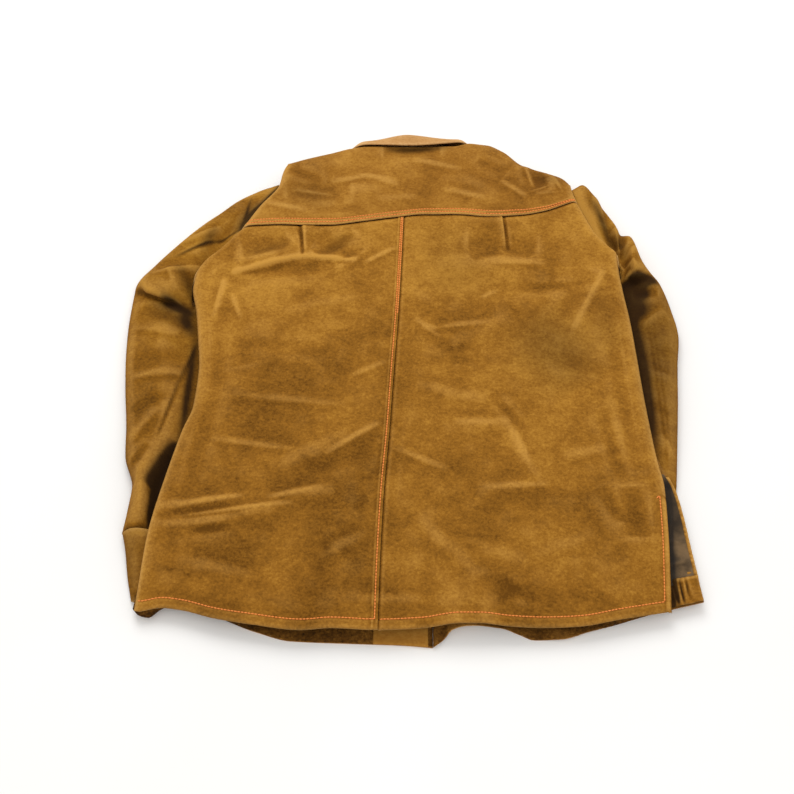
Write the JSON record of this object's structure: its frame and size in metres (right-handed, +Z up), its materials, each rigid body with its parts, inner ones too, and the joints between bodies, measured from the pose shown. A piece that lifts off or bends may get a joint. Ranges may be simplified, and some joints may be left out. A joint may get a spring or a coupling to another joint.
{
  "type": "suede jacket",
  "caption": "Suede shirt jacket laid face down with its yoked back up, sleeves folded down beside the body and the turned collar pointing away from the hem.",
  "frame": {"origin": "centre of the bounding box in plan, on the surface that the jacket lies on", "axes": "+Z up from the surface, +Y from the hem to the collar, +X to the wearer's right sleeve"},
  "size_m": [0.703, 0.782, 0.045],
  "materials": {
    "suede": "brushed tan suede, mottled nap",
    "suede_inside": "rough flesh side of tan suede",
    "collar": "paler rubbed suede",
    "facing": "smooth split suede",
    "lining": "brown grey satin",
    "buttons": "dark brown",
    "thread": "orange topstitching thread"
  },
  "bodies": {
    "root": {"back_left": "suede", "back_right": "suede", "back_yoke": "suede", "sleeve_left": "suede", "sleeve_right": "suede", "cuff_left": "suede", "cuff_right": "suede", "front_left": "suede_inside", "front_right": "suede_inside", "front_facing": "facing", "lining": "lining", "collar_stand": "collar", "collar_fall": "collar", "button_1": "buttons", "button_2": "buttons", "button_3": "buttons", "button_4": "buttons", "button_5": "buttons"}
  },
  "joints": []
}
